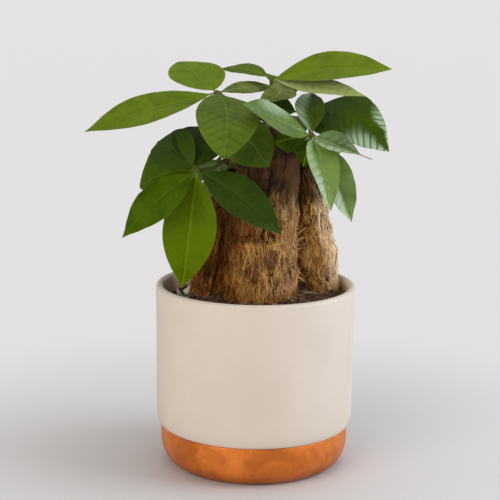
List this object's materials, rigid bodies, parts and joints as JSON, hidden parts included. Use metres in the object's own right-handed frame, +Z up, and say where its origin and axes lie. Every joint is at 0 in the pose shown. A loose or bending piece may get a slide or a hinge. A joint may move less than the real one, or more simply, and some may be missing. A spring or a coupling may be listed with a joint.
{
  "type": "potted money tree",
  "caption": "Potted money tree with swollen fibrous trunks and palmate glossy leaves, in a round white ceramic planter with a copper-coloured base.",
  "frame": {"origin": "centre of the planter's flat foot, on the surface it stands on", "axes": "+Z up along the planter's axis; the side of the plant seen in the picture faces -Y; +X is to the right from there"},
  "size_m": [0.2195, 0.215, 0.3116],
  "materials": {
    "base_copper": "copper-coloured lustre glaze, softly mottled, low gloss",
    "body_glaze": "warm white matt glaze",
    "soil": "damp dark potting mix of fine crumbs and fibres",
    "bark": "shaggy, fibrous, dry bark, straw-tan below and darker above",
    "shoot": "young greenish-brown stem, smooth",
    "leaf": "living leaf, waxy and half gloss, with paler veins"
  },
  "bodies": {
    "root": {"pot_base": "base_copper", "pot_body": "body_glaze", "soil": "soil", "trunk_center": "bark", "trunk_right": "bark", "trunk_left": "bark", "shoot_center": "shoot", "shoot_right": "shoot", "shoot_left": "shoot", "shoot_back": "shoot", "leaf_upper_left": "leaf", "leaf_upper_right": "leaf", "leaf_middle_right": "leaf", "leaf_right": "leaf", "leaf_lower_left": "leaf", "leaf_center": "leaf", "leaf_back_left": "leaf", "leaf_back_right": "leaf", "leaf_back_top": "leaf"}
  },
  "joints": []
}
